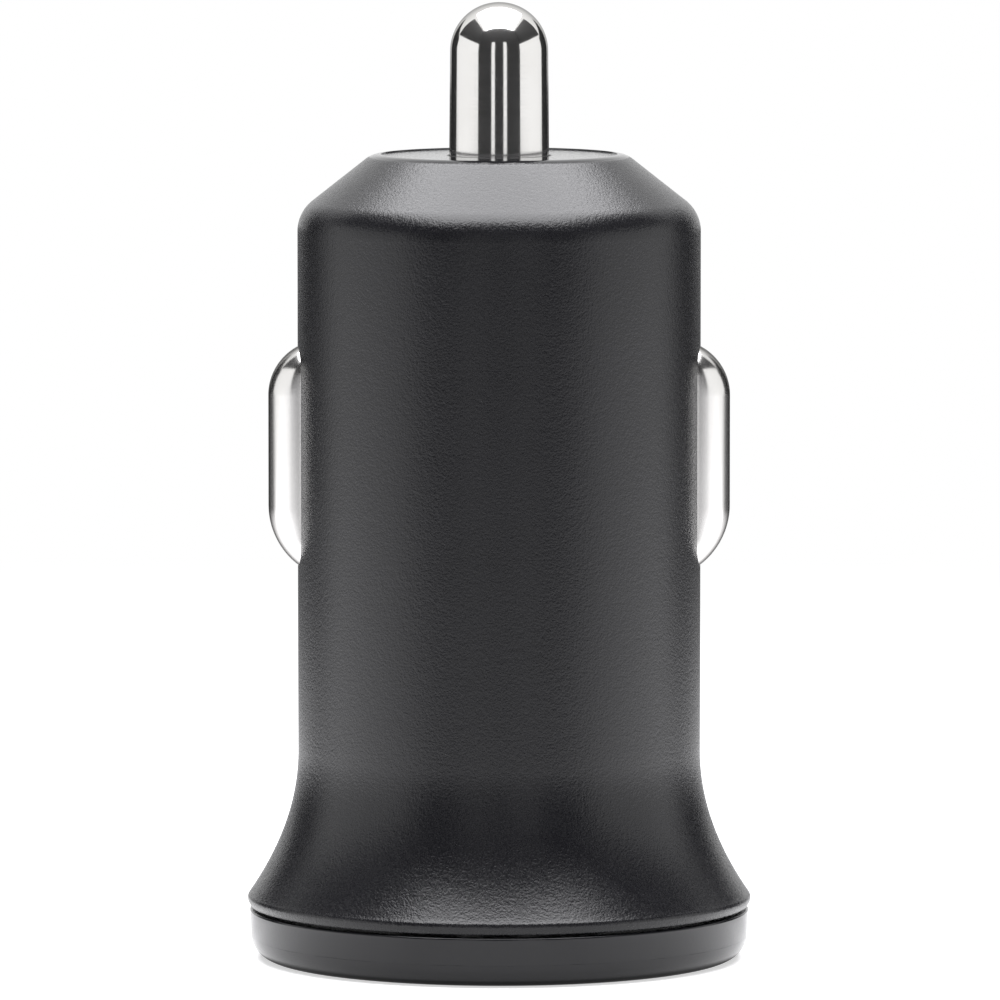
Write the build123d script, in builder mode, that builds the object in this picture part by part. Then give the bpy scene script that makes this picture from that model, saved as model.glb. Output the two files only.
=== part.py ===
from build123d import *
import os
from math import radians, sqrt, tan

os.makedirs("parts", exist_ok=True)

# All sizes are in millimetres. Z runs up from the face that the plug stands on.

# Barrel, nose and skirt of the housing
barrel_radius = 10.0
shoulder_height = 37.15  # where barrel and nose cone would meet
shoulder_round = 1.9
nose_rise = 2.91  # height of the nose cone
nose_flat_radius = 6.3
nose_round = 0.7
flare_height = 10.35  # where the skirt leaves the barrel
rim_flare = 2.57  # how far the rim stands out from the barrel
rim_height = 3.12
rim_break = 0.08
lip_height = 2.64  # underside of the skirt
lip_inset = 0.2
taper_height = 8.3  # where the straight taper inside the skirt begins
wall = 1.4
skirt_wall = 1.5
nose_wall = 1.6
nose_corner = 0.6  # how far the inside corners of the nose step in

# Face cap
cap_inset = 0.14  # how far the cap stays inside the rim
cap_draft = 0.13
cap_round = 1.0
seam_gap = 0.14
seam_depth = 0.75
cap_floor = 1.8
cap_skirt = 1.2
spigot_height = 0.95
spigot_fit = 0.12
collar_wall = 0.8
mouth_bevel = 0.35
hook_height = 9.0
hook_reach = 0.35  # how far the hooks catch behind the barrel's inner wall
hook_catch = 0.95  # from the catching face to the hook's end
hook_land = 0.35
hook_lead = 0.2
hook_root = 0.3
hook_width = 2.8
hook_thickness = 1.05
hook_gap = 0.2
groove_fit = 0.15

# Sprung centre contact
pin_radius = 2.485
pin_taper = 0.055  # how much the pin narrows up to the dome
pin_exposed = 7.52  # from the nose flat to the tip of the dome
pin_fit = 0.1
pin_travel = 2.5
pin_flange_step = 0.815
pin_flange = 1.25
pin_stem = 0.8
pin_wall = 0.685
pin_bore_above = 1.9  # how far the spring bore goes past the nose wall
pin_bore_point = 0.6  # drill point at the end of the bore
boss_wall = 1.1
boss_spare = 0.3
spring_wire = 0.44
spring_turns = 5
spring_fit = 0.12

# Side contacts
contact_rise = 1.46  # from the barrel to the crest of the contact
contact_width = 3.82
contact_length = 10.86
contact_drop = 6.65  # from the shoulder down to the contact's upper end
contact_low_round = 3.73
contact_high_round = 2.73
contact_flat = 0.06  # half width of the flat left along the crest
contact_corner = 1.2
contact_sheet = 0.4
contact_fit = 0.05
contact_rim = 0.7  # how far the flange stands out around the window
leaf_thickness = 0.25
leaf_width = 3.4
leaf_room = 2.2
leaf_length = 9.2
leaf_foot = 1.3
leaf_bend = 0.8
leaf_lip = 0.5  # how far the board's neck stands out past the leaf's seat
leaf_end_gap = 0.15

# Circuit board and spring terminal
board_thickness = 1.0
board_fit = 0.05
board_edge_gap = 0.3
board_bottom = 5.0
rail_share = 0.36  # part of the board's prongs that the rails hold
rail_wall = 0.8
rail_gap = 0.7
terminal_sheet = 0.4
terminal_radius = 2.3
terminal_peg = 1.0
terminal_leg = 2.0
terminal_leg_width = 2.2

# USB-A socket
usb_width = 13.1
usb_height = 5.7
usb_sheet = 0.3
usb_length = 13.0
usb_recess = 0.7  # thickness of the face in front of the socket
usb_fit = 0.1
usb_corner = 0.6
tongue_width = 11.1
tongue_thickness = 1.84
tongue_recess = 1.1
socket_block = 1.8
strip_thickness = 0.25
strip_width = 1.0
strip_near = 1.0  # from the middle to the two data strips
strip_far = 3.5  # from the middle to the two power strips
strip_start = 0.8
strip_step = 0.6
strip_bend = 0.3
strip_tail = 1.4
wing_share = 0.5  # part of the board's prongs that the shell's wings cover
wing_length = 2.4
wing_start = 7.0

# Pieces on the board
part_gap = 0.3
chip_width = 3.9
chip_share = 0.371  # part of the board's free length that the chip takes
chip_thickness = 1.45
chip_bevel = 0.25
chip_standoff = 0.1
lead_share = 0.26  # pitch of the leads, as a part of the chip's length
lead_width = 0.42
lead_sheet = 0.2
lead_out = 0.35
lead_foot = 0.7
lead_rise = 0.95
drum_share = 0.454  # part of the board's free length that the drum takes
drum_flange = 0.9
drum_waist = 2.2
waist_share = 0.5  # waist of the drum against its flanges
winding_depth = 0.25
output_can_share = 0.431  # part of the board's free length on the back
output_can_length = 5.8
input_can_share = 0.342
input_can_length = 5.4
can_base = 0.7
can_base_rim = 0.15
can_bevel = 0.35
crimp_height = 0.6
crimp_width = 0.5
crimp_depth = 0.3
diode_length = 4.3
diode_thickness = 2.1
diode_bevel = 0.3
diode_gap = 0.2
tab_share = 0.54  # width of the tabs against the diode
tab_length = 5.2
tab_sheet = 0.25
fuse_length = 3.0
fuse_width = 1.6
fuse_thickness = 0.6
ceramic_length = 3.0
ceramic_width = 1.6
ceramic_thickness = 1.4
filter_length = 1.8
filter_width = 1.2
filter_thickness = 1.0
resistor_length = 1.5
resistor_width = 0.8
resistor_thickness = 0.45
plating = 0.03

# Heights and radii that follow from the sizes above
inner_radius = barrel_radius - wall
nose_height = shoulder_height + nose_rise
nose_inside = nose_height - nose_wall
rim_radius = barrel_radius + rim_flare
lip_radius = rim_radius - lip_inset
mouth_radius = lip_radius - skirt_wall
cap_radius = rim_radius - cap_inset
pin_tip_radius = pin_radius - pin_taper
pin_bore_radius = pin_radius - pin_wall
pin_flange_radius = pin_radius + pin_flange_step
pin_hole_radius = pin_radius + pin_fit
pin_tip_height = nose_height + pin_exposed
pin_foot_height = nose_inside - pin_flange - pin_stem
boss_radius = pin_flange_radius + pin_fit
spring_top = nose_inside + pin_bore_above
spring_seat = pin_foot_height - 2 * pin_travel
board_top = spring_seat - terminal_sheet
contact_reach = barrel_radius + contact_rise
contact_crown = contact_width / 2 - contact_flat
contact_high = shoulder_height - contact_drop
contact_low = contact_high - contact_length
contact_middle = (contact_high + contact_low) / 2
contact_seat = inner_radius
flange_inside = contact_seat - contact_sheet
flange_width = contact_width + 2 * contact_rim
flange_length = contact_length + 2 * contact_rim
leaf_seat = flange_inside - leaf_room
usb_back = usb_recess + usb_length
usb_slot_top = usb_back + usb_fit
board_face = board_thickness / 2
board_half = inner_radius - board_edge_gap
neck_half = leaf_seat + leaf_lip
board_shoulder = (usb_slot_top + contact_low - contact_rim) / 2
prong_inside = usb_width / 2 + usb_fit
prong_width = board_half - prong_inside
rail_inside = board_half - rail_share * prong_width
rail_bottom = hook_height + rail_gap
row_height = usb_slot_top + strip_tail + part_gap
terminal_low = board_top - terminal_leg - part_gap
front_room = terminal_low - row_height
back_room = terminal_low - usb_slot_top - part_gap
chip_length = chip_share * front_room
lead_pitch = lead_share * chip_length
drum_radius = drum_share * front_room / 2
waist_radius = waist_share * drum_radius
output_can_radius = output_can_share * back_room / 2
input_can_radius = input_can_share * back_room / 2
side_column = (drum_radius + leaf_seat) / 2
diode_width = leaf_seat - drum_radius - 2 * diode_gap
tab_width = tab_share * diode_width

# Planes of the two board faces, both with local y up
front_face = Plane(origin=(0, -board_face, 0), x_dir=(1, 0, 0), z_dir=(0, -1, 0))
back_face = Plane(origin=(0, board_face, 0), x_dir=(-1, 0, 0), z_dir=(0, 1, 0))


def skirt_inside(height):
    # inner radius of the skirt, which tapers straight from the barrel to the mouth
    share = (taper_height - height) / (taper_height - lip_height)
    return inner_radius + (mouth_radius - inner_radius) * share


def contact_dome(inset, base):
    # solid half-round dome of a side contact, drawn smaller by inset for its hollow
    crest = contact_reach - inset
    low_start = contact_low + sqrt(2 * contact_low_round * contact_rise - contact_rise**2)
    high_start = contact_high - sqrt(2 * contact_high_round * contact_rise - contact_rise**2)
    sweep_angle = 65
    slope = tan(radians(sweep_angle))
    half_width = contact_width / 2 - inset
    with BuildPart() as dome:
        with BuildSketch(Plane.XZ):
            with BuildLine():
                Line((crest, low_start), (crest, high_start))
                high_arc = JernArc((crest, high_start), (0, 1), contact_high_round - inset, sweep_angle)
                low_arc = JernArc((crest, low_start), (0, -1), contact_low_round - inset, -sweep_angle)
                high_end = high_arc @ 1
                low_end = low_arc @ 1
                high_base = (base, high_end.Y + (high_end.X - base) / slope)
                low_base = (base, low_end.Y - (low_end.X - base) / slope)
                Line(high_end, high_base)
                Line(high_base, low_base)
                Line(low_base, low_end)
            make_face()
        extrude(amount=half_width, both=True)
        sides = dome.faces().sort_by(Axis.Y)
        crest_edges = [edge for edge in sides[0].edges() + sides[-1].edges() if edge.center().X > base + 0.01]
        fillet(crest_edges, contact_crown - inset)
        with BuildSketch(Plane.YZ):
            with Locations((0, contact_middle)):
                RectangleRounded(2 * half_width, contact_length - 2 * inset, contact_corner - inset)
        extrude(amount=contact_reach + 1, mode=Mode.INTERSECT)
    return dome.part


# Housing: barrel, nose and skirt turned as one shell
with BuildPart() as housing:
    with BuildSketch(Plane.XZ):
        with BuildLine():
            Polyline((mouth_radius, lip_height), (lip_radius, lip_height), (rim_radius, rim_height))
            Bezier(
                (rim_radius, rim_height),
                (barrel_radius, (rim_height + flare_height) / 2),
                (barrel_radius, flare_height),
            )
            FilletPolyline(
                (barrel_radius, flare_height),
                (barrel_radius, shoulder_height),
                (nose_flat_radius, nose_height),
                (pin_hole_radius, nose_height),
                radius=(shoulder_round, nose_round),
            )
            Polyline(
                (pin_hole_radius, nose_height),
                (pin_hole_radius, nose_inside),
                (nose_flat_radius - nose_corner, nose_inside),
                (inner_radius, shoulder_height - nose_corner),
                (inner_radius, taper_height),
                (mouth_radius, lip_height),
            )
        make_face()
    revolve(axis=Axis.Z)
    chamfer(housing.edges().filter_by(GeomType.CIRCLE).sort_by(SortBy.RADIUS)[-1], rim_break)
    # guide boss around the flange of the centre contact
    with BuildSketch(Plane.XY.offset(nose_inside)):
        Circle(boss_radius + boss_wall)
        Circle(boss_radius, mode=Mode.SUBTRACT)
    extrude(amount=-(pin_flange + pin_travel + boss_spare))
    # rails that hold the board's edges, closed at the top
    rail_outside = inner_radius + wall / 2
    rail_x = (rail_inside + rail_outside) / 2
    rail_y = board_face + board_fit + rail_wall / 2
    with BuildSketch(Plane.XY.offset(rail_bottom)):
        with GridLocations(2 * rail_x, 2 * rail_y, 2, 2):
            Rectangle(rail_outside - rail_inside, rail_wall)
    extrude(amount=board_shoulder - rail_bottom)
    with BuildSketch(Plane.XY.offset(board_shoulder)):
        with Locations((rail_x, 0), (-rail_x, 0)):
            Rectangle(rail_outside - rail_inside, 2 * rail_y + rail_wall)
    extrude(amount=rail_wall)
    # windows for the side contacts, and the flat pockets their flanges seat in
    window_width = contact_width + 2 * contact_fit
    window_length = contact_length + 2 * contact_fit
    with BuildSketch(Plane.YZ):
        with Locations((0, contact_middle)):
            RectangleRounded(window_width, window_length, contact_corner + contact_fit)
    extrude(amount=rim_radius, both=True, mode=Mode.SUBTRACT)
    with BuildSketch(Plane.YZ):
        with Locations((0, contact_middle)):
            RectangleRounded(
                flange_width + 4 * contact_fit, flange_length + 4 * contact_fit, contact_rim + contact_corner
            )
    extrude(amount=contact_seat, both=True, mode=Mode.SUBTRACT)
    # groove that the cap's snap hooks catch in
    hook_tip = inner_radius + hook_reach
    hook_low = hook_height - hook_catch
    with BuildSketch(Plane.XY.offset(hook_low - groove_fit)):
        Circle(hook_tip + groove_fit)
    extrude(amount=hook_catch + 2 * groove_fit, mode=Mode.SUBTRACT)

# One snap hook of the face cap
hook_outside = inner_radius - hook_gap
hook_inside = hook_outside - hook_thickness
with BuildPart() as snap_hook:
    with BuildSketch(Plane.XZ):
        with BuildLine():
            Polyline(
                (hook_inside, cap_floor - hook_root),
                (hook_outside, cap_floor - hook_root),
                (hook_outside, hook_low),
                (hook_tip, hook_low),
                (hook_tip, hook_low + hook_land),
                (hook_outside - hook_lead, hook_height),
                (hook_inside, hook_height),
                close=True,
            )
        make_face()
    extrude(amount=hook_width / 2, both=True)

# Face cap, which snaps into the skirt and frames the USB socket
cap_top = lip_height - seam_gap
spigot_top = lip_height + spigot_height
spigot_low_radius = skirt_inside(lip_height) - spigot_fit
spigot_high_radius = skirt_inside(spigot_top) - spigot_fit
with BuildPart() as face_cap:
    with BuildSketch(Plane.XZ):
        with BuildLine():
            FilletPolyline((0, 0), (cap_radius - cap_draft, 0), (cap_radius, cap_top), radius=cap_round)
            Polyline(
                (cap_radius, cap_top),
                (cap_radius - seam_depth, cap_top),
                (cap_radius - seam_depth, lip_height),
                (spigot_low_radius, lip_height),
                (spigot_high_radius, spigot_top),
                (spigot_high_radius - cap_skirt, spigot_top),
                (spigot_high_radius - cap_skirt, cap_floor),
                (0, cap_floor),
                (0, 0),
            )
        make_face()
    revolve(axis=Axis.Z)
    pocket_width = usb_width + 2 * usb_fit
    pocket_height = usb_height + 2 * usb_fit
    with BuildSketch(Plane.XY.offset(cap_floor)):
        RectangleRounded(
            pocket_width + 2 * collar_wall, pocket_height + 2 * collar_wall, usb_corner + collar_wall
        )
    extrude(amount=board_bottom - cap_floor)
    with PolarLocations(0, 4, start_angle=45):
        add(snap_hook.part)
    with BuildSketch(Plane.XY.offset(usb_recess)):
        RectangleRounded(pocket_width, pocket_height, usb_corner + usb_fit)
    extrude(amount=board_bottom, mode=Mode.SUBTRACT)
    mouth_width = usb_width - 2 * usb_sheet + 2 * usb_fit
    mouth_height = usb_height - 2 * usb_sheet + 2 * usb_fit
    with BuildSketch(Plane.XY):
        RectangleRounded(mouth_width, mouth_height, usb_corner)
    extrude(amount=usb_recess, mode=Mode.SUBTRACT)
    chamfer(face_cap.faces().sort_by(Axis.Z)[0].inner_wires()[0].edges(), mouth_bevel)

# Centre contact: a turned pin with a domed tip, a flange and a spring bore
with BuildPart() as centre_contact:
    with BuildSketch(Plane.XZ):
        dome_height = pin_tip_height - pin_tip_radius
        with BuildLine():
            Polyline(
                (0, spring_top + pin_bore_point),
                (pin_bore_radius, spring_top),
                (pin_bore_radius, pin_foot_height),
                (pin_radius, pin_foot_height),
                (pin_radius, nose_inside - pin_flange),
                (pin_flange_radius, nose_inside - pin_flange),
                (pin_flange_radius, nose_inside),
                (pin_radius, nose_inside),
                (pin_tip_radius, dome_height),
            )
            RadiusArc((pin_tip_radius, dome_height), (0, pin_tip_height), -pin_tip_radius)
            Line((0, pin_tip_height), (0, spring_top + pin_bore_point))
        make_face()
    revolve(axis=Axis.Z)

# Coil spring behind the centre contact
coil_radius = pin_bore_radius - spring_fit - spring_wire / 2
coil_height = spring_top - spring_seat - spring_wire
coil_start = (0, 0, spring_seat + spring_wire / 2)
with BuildPart() as centre_spring:
    with BuildLine():
        coil = Helix(coil_height / spring_turns, coil_height, coil_radius, center=coil_start)
    # six-sided wire
    with BuildSketch(Plane(origin=coil @ 0, x_dir=(1, 0, 0), z_dir=coil % 0)):
        RegularPolygon(spring_wire / 2, 6, major_radius=False)
    sweep(path=coil, is_frenet=True)

# Brass seat of that spring, soldered over the board's top edge
with BuildPart() as positive_terminal:
    with BuildSketch(Plane.XY.offset(board_top)):
        Circle(terminal_radius)
    extrude(amount=terminal_sheet)
    with BuildSketch(Plane.XY.offset(spring_seat)):
        Circle(coil_radius - spring_wire / 2 - spring_fit)
    extrude(amount=terminal_peg)
    with BuildSketch(Plane.XY.offset(board_top)):
        with Locations((0, board_face + terminal_sheet / 2), (0, -board_face - terminal_sheet / 2)):
            Rectangle(terminal_leg_width, terminal_sheet)
    extrude(amount=-terminal_leg)

# Side contacts: drawn domes with a flange that stops them in the windows
with BuildPart() as ground_contact_right:
    add(contact_dome(0, flange_inside))
    with BuildSketch(Plane.YZ.offset(flange_inside)):
        with Locations((0, contact_middle)):
            RectangleRounded(flange_width, flange_length, contact_rim + contact_corner - 2 * contact_fit)
    extrude(amount=contact_sheet)
    add(contact_dome(contact_sheet, flange_inside - contact_sheet), mode=Mode.SUBTRACT)

with BuildPart() as ground_contact_left:
    mirror(ground_contact_right.part, about=Plane.YZ)

# Leaf springs between the board's edges and the side contacts
leaf_low = contact_middle - leaf_length / 2
leaf_high = contact_middle + leaf_length / 2
leaf_back = leaf_seat + leaf_thickness / 2
leaf_front = flange_inside - leaf_thickness / 2
with BuildPart() as ground_spring_right:
    with BuildLine(Plane.XZ) as leaf_line:
        FilletPolyline(
            (leaf_back, leaf_low),
            (leaf_back, leaf_low + leaf_foot),
            (leaf_front, contact_middle - leaf_foot),
            (leaf_front, contact_middle + leaf_foot),
            (leaf_back, leaf_high - leaf_foot),
            (leaf_back, leaf_high),
            radius=leaf_bend,
        )
    with BuildSketch(Plane(origin=(leaf_back, 0, leaf_low), x_dir=(1, 0, 0), z_dir=(0, 0, 1))):
        Rectangle(leaf_thickness, leaf_width)
    sweep(path=leaf_line.wire())

with BuildPart() as ground_spring_left:
    mirror(ground_spring_right.part, about=Plane.YZ)

# Circuit board: prongs beside the socket, rails below the contacts, a narrow neck between the springs
with BuildPart() as circuit_board:
    with BuildSketch(Plane.XZ):
        with Locations((0, (board_bottom + board_shoulder) / 2)):
            Rectangle(2 * board_half, board_shoulder - board_bottom)
        with Locations((0, (board_shoulder + board_top) / 2)):
            Rectangle(2 * neck_half, board_top - board_shoulder)
        with Locations((0, (board_bottom + usb_slot_top) / 2)):
            Rectangle(2 * prong_inside, usb_slot_top - board_bottom, mode=Mode.SUBTRACT)
        with Locations((neck_half, contact_middle), (-neck_half, contact_middle)):
            Rectangle(2 * leaf_lip, leaf_length + 2 * leaf_end_gap, mode=Mode.SUBTRACT)
    extrude(amount=board_face, both=True)

# USB-A socket: folded steel shell with wings that lie on the board
with BuildPart() as usb_shell:
    with BuildSketch(Plane.XY.offset(usb_recess)):
        RectangleRounded(usb_width, usb_height, usb_corner)
        RectangleRounded(
            usb_width - 2 * usb_sheet, usb_height - 2 * usb_sheet, usb_corner - usb_sheet, mode=Mode.SUBTRACT
        )
    extrude(amount=usb_length)
    wing_inside = usb_width / 2 - usb_sheet / 2
    wing_outside = prong_inside + wing_share * prong_width
    wing_x = (wing_inside + wing_outside) / 2
    wing_y = -board_face - usb_sheet / 2
    with BuildSketch(Plane.XY.offset(usb_recess + wing_start)):
        with Locations((wing_x, wing_y), (-wing_x, wing_y)):
            Rectangle(wing_outside - wing_inside, usb_sheet)
    extrude(amount=wing_length)

# Moulded block and tongue of the socket, with its four contact strips
strip_low = usb_recess + tongue_recess + strip_start
strip_line_y = -strip_thickness / 2
tail_line_y = -board_face - strip_thickness / 2
strips = []
for place in (-strip_far, -strip_near, strip_near, strip_far):
    with BuildPart() as strip:
        with BuildLine(Plane.YZ.offset(place)) as strip_line:
            FilletPolyline(
                (strip_line_y, strip_low),
                (strip_line_y, usb_back - socket_block / 2),
                (tail_line_y, usb_back - socket_block / 2 + strip_step),
                (tail_line_y, usb_slot_top + strip_tail),
                radius=strip_bend,
            )
        with BuildSketch(Plane.XY.offset(strip_low)):
            with Locations((place, strip_line_y)):
                Rectangle(strip_width, strip_thickness)
        sweep(path=strip_line.wire())
    strips.append(strip.part)

with BuildPart() as usb_contacts:
    add(strips)

with BuildPart() as usb_insulator:
    with BuildSketch(Plane.XY.offset(usb_back - socket_block)):
        RectangleRounded(
            usb_width - 2 * usb_sheet - usb_fit, usb_height - 2 * usb_sheet - usb_fit, usb_corner - usb_sheet
        )
    extrude(amount=socket_block)
    with BuildSketch(Plane.XY.offset(usb_recess + tongue_recess)):
        with Locations((0, tongue_thickness / 2)):
            Rectangle(tongue_width, tongue_thickness)
    extrude(amount=usb_length - tongue_recess - socket_block)
    add(strips, mode=Mode.SUBTRACT)

# Converter chip with gull-wing leads
chip_height = row_height + chip_length / 2
lead_inside = chip_width / 2 + lead_out
lead_rows = [chip_height + step * lead_pitch for step in (-1.5, -0.5, 0.5, 1.5)]
lead_sides = [(side, row) for side in (-1, 1) for row in lead_rows]
with BuildPart() as converter_chip:
    with BuildSketch(front_face.offset(chip_standoff)):
        with Locations((0, chip_height)):
            Rectangle(chip_width, chip_length)
    extrude(amount=chip_thickness)
    chamfer(converter_chip.faces().sort_by(Axis.Y)[0].edges(), chip_bevel)
    with BuildSketch(front_face):
        with Locations(*[(side * (lead_inside + lead_foot / 2), row) for side, row in lead_sides]):
            Rectangle(lead_foot, lead_width)
    extrude(amount=lead_sheet)
    with BuildSketch(front_face):
        with Locations(*[(side * (lead_inside + lead_sheet / 2), row) for side, row in lead_sides]):
            Rectangle(lead_sheet, lead_width)
    extrude(amount=lead_rise)
    lead_top = lead_inside + lead_sheet - lead_foot / 2
    with BuildSketch(front_face.offset(lead_rise - lead_sheet)):
        with Locations(*[(side * lead_top, row) for side, row in lead_sides]):
            Rectangle(lead_foot, lead_width)
    extrude(amount=lead_sheet)

# Power inductor: ferrite drum with its winding
drum_height = terminal_low - drum_radius
with BuildPart() as inductor_core:
    with BuildSketch(front_face):
        with Locations((0, drum_height)):
            Circle(drum_radius)
    extrude(amount=drum_flange)
    with BuildSketch(front_face.offset(drum_flange)):
        with Locations((0, drum_height)):
            Circle(waist_radius)
    extrude(amount=drum_waist)
    with BuildSketch(front_face.offset(drum_flange + drum_waist)):
        with Locations((0, drum_height)):
            Circle(drum_radius)
    extrude(amount=drum_flange)

with BuildPart() as inductor_coil:
    with BuildSketch(front_face.offset(drum_flange)):
        with Locations((0, drum_height)):
            Circle(drum_radius - winding_depth)
            Circle(waist_radius, mode=Mode.SUBTRACT)
    extrude(amount=drum_waist)


def can_capacitor(radius, length, height):
    # surface-mount can on its square base, with the crimp groove above the base
    with BuildPart() as can:
        with BuildSketch(back_face):
            with Locations((0, height)):
                Rectangle(2 * (radius + can_base_rim), 2 * (radius + can_base_rim))
        extrude(amount=can_base)
        with BuildSketch(back_face.offset(can_base)):
            with Locations((0, height)):
                Circle(radius)
        extrude(amount=length - can_base)
        chamfer(can.edges().filter_by(GeomType.CIRCLE).sort_by(Axis.Y)[-1], can_bevel)
        with BuildSketch(back_face.offset(can_base + crimp_height)):
            with Locations((0, height)):
                Circle(radius + crimp_depth)
                Circle(radius - crimp_depth, mode=Mode.SUBTRACT)
        extrude(amount=crimp_width, mode=Mode.SUBTRACT)
    return can.part


output_can_height = usb_slot_top + part_gap + output_can_radius + can_base_rim
input_can_height = terminal_low - input_can_radius - can_base_rim
with BuildPart() as output_capacitor:
    add(can_capacitor(output_can_radius, output_can_length, output_can_height))

with BuildPart() as input_capacitor:
    add(can_capacitor(input_can_radius, input_can_length, input_can_height))

# Rectifier diode with its two tabs
diode_place = (-side_column, board_top - part_gap - tab_length / 2)
with BuildPart() as rectifier_diode:
    with BuildSketch(front_face.offset(chip_standoff)):
        with Locations(diode_place):
            Rectangle(diode_width, diode_length)
    extrude(amount=diode_thickness)
    chamfer(rectifier_diode.faces().sort_by(Axis.Y)[0].edges(), diode_bevel)
    with BuildSketch(front_face):
        with Locations(diode_place):
            Rectangle(tab_width, tab_length)
    extrude(amount=tab_sheet)


def chip_part(face, across, low, length, width, thickness):
    # ceramic chip standing on its lower end along local y, with plated ends slightly proud
    end = length / 5
    with BuildPart() as chip:
        with BuildSketch(face):
            with Locations((across, low + length / 2)):
                Rectangle(width, length - end)
        extrude(amount=thickness)
        with BuildSketch(face):
            with Locations((across, low + end / 2), (across, low + length - end / 2)):
                Rectangle(width + 2 * plating, end)
        extrude(amount=thickness + plating)
    return chip.part


fuse_low = board_top - part_gap - fuse_length
ceramic_low = board_top - part_gap - ceramic_length
with BuildPart() as input_fuse:
    add(chip_part(back_face, side_column, fuse_low, fuse_length, fuse_width, fuse_thickness))

with BuildPart() as chip_capacitors:
    add(chip_part(front_face, side_column, ceramic_low, ceramic_length, ceramic_width, ceramic_thickness))
    for row in range(2):
        low = row_height + row * (filter_length + part_gap)
        add(chip_part(front_face, side_column, low, filter_length, filter_width, filter_thickness))

with BuildPart() as chip_resistors:
    add(chip_part(back_face, side_column, row_height, resistor_length, resistor_width, resistor_thickness))
    for row in range(3):
        low = row_height + row * (resistor_length + part_gap)
        add(chip_part(front_face, -side_column, low, resistor_length, resistor_width, resistor_thickness))

housing.part.label = "housing"
export_step(housing.part, "parts/housing.step")
face_cap.part.label = "face_cap"
export_step(face_cap.part, "parts/face_cap.step")
centre_contact.part.label = "centre_contact"
export_step(centre_contact.part, "parts/centre_contact.step")
centre_spring.part.label = "centre_spring"
export_step(centre_spring.part, "parts/centre_spring.step")
positive_terminal.part.label = "positive_terminal"
export_step(positive_terminal.part, "parts/positive_terminal.step")
ground_contact_left.part.label = "ground_contact_left"
export_step(ground_contact_left.part, "parts/ground_contact_left.step")
ground_contact_right.part.label = "ground_contact_right"
export_step(ground_contact_right.part, "parts/ground_contact_right.step")
ground_spring_left.part.label = "ground_spring_left"
export_step(ground_spring_left.part, "parts/ground_spring_left.step")
ground_spring_right.part.label = "ground_spring_right"
export_step(ground_spring_right.part, "parts/ground_spring_right.step")
circuit_board.part.label = "circuit_board"
export_step(circuit_board.part, "parts/circuit_board.step")
usb_shell.part.label = "usb_shell"
export_step(usb_shell.part, "parts/usb_shell.step")
usb_insulator.part.label = "usb_insulator"
export_step(usb_insulator.part, "parts/usb_insulator.step")
usb_contacts.part.label = "usb_contacts"
export_step(usb_contacts.part, "parts/usb_contacts.step")
converter_chip.part.label = "converter_chip"
export_step(converter_chip.part, "parts/converter_chip.step")
inductor_core.part.label = "inductor_core"
export_step(inductor_core.part, "parts/inductor_core.step")
inductor_coil.part.label = "inductor_coil"
export_step(inductor_coil.part, "parts/inductor_coil.step")
output_capacitor.part.label = "output_capacitor"
export_step(output_capacitor.part, "parts/output_capacitor.step")
input_capacitor.part.label = "input_capacitor"
export_step(input_capacitor.part, "parts/input_capacitor.step")
rectifier_diode.part.label = "rectifier_diode"
export_step(rectifier_diode.part, "parts/rectifier_diode.step")
input_fuse.part.label = "input_fuse"
export_step(input_fuse.part, "parts/input_fuse.step")
chip_capacitors.part.label = "chip_capacitors"
export_step(chip_capacitors.part, "parts/chip_capacitors.step")
chip_resistors.part.label = "chip_resistors"
export_step(chip_resistors.part, "parts/chip_resistors.step")
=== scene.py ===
import bpy
from math import atan2, cos, pi, radians, sin, tan
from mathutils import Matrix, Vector


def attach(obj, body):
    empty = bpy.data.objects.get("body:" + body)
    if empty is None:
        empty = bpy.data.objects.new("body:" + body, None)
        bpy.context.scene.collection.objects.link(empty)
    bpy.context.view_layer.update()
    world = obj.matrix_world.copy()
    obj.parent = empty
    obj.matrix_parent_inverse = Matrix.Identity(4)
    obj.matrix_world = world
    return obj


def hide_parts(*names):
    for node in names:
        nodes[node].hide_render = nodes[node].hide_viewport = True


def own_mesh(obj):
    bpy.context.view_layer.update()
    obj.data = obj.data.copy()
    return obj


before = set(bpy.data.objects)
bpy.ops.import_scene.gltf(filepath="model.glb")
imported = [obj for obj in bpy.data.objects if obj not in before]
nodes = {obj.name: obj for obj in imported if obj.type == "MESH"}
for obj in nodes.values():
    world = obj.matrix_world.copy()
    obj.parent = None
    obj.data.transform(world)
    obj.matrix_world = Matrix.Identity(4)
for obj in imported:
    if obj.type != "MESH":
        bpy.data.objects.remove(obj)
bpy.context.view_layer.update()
scene = bpy.context.scene
mm = 0.001
weldGap = 0.0015 * mm  # points closer than this become one
mostly = 0.9  # an edge or a normal that points along an axis by this share counts as lying on it
sides = (("left", -1), ("right", 1))
print("frame loaded:", len(nodes), "nodes")


# small helpers for working in edit mode

def deselectAll():
    if bpy.context.mode != "OBJECT":
        bpy.ops.object.mode_set(mode="OBJECT")
    bpy.ops.object.select_all(action="DESELECT")


def makeActive(piece):
    deselectAll()
    piece.select_set(True)
    bpy.context.view_layer.objects.active = piece


def nameIt(name):
    piece = bpy.context.object
    piece.name = name
    piece.data.name = name
    return piece


def startPicking(kind):
    # the kind of selection is set first, so that marks made on the mesh stay as they are
    bpy.ops.object.mode_set(mode="EDIT")
    bpy.ops.mesh.select_mode(type=kind)
    bpy.ops.mesh.select_all(action="DESELECT")
    bpy.ops.object.mode_set(mode="OBJECT")


def pull(x, y, z):
    bpy.ops.mesh.extrude_region_move(TRANSFORM_OT_translate={"value": (x * mm, y * mm, z * mm)})


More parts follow.
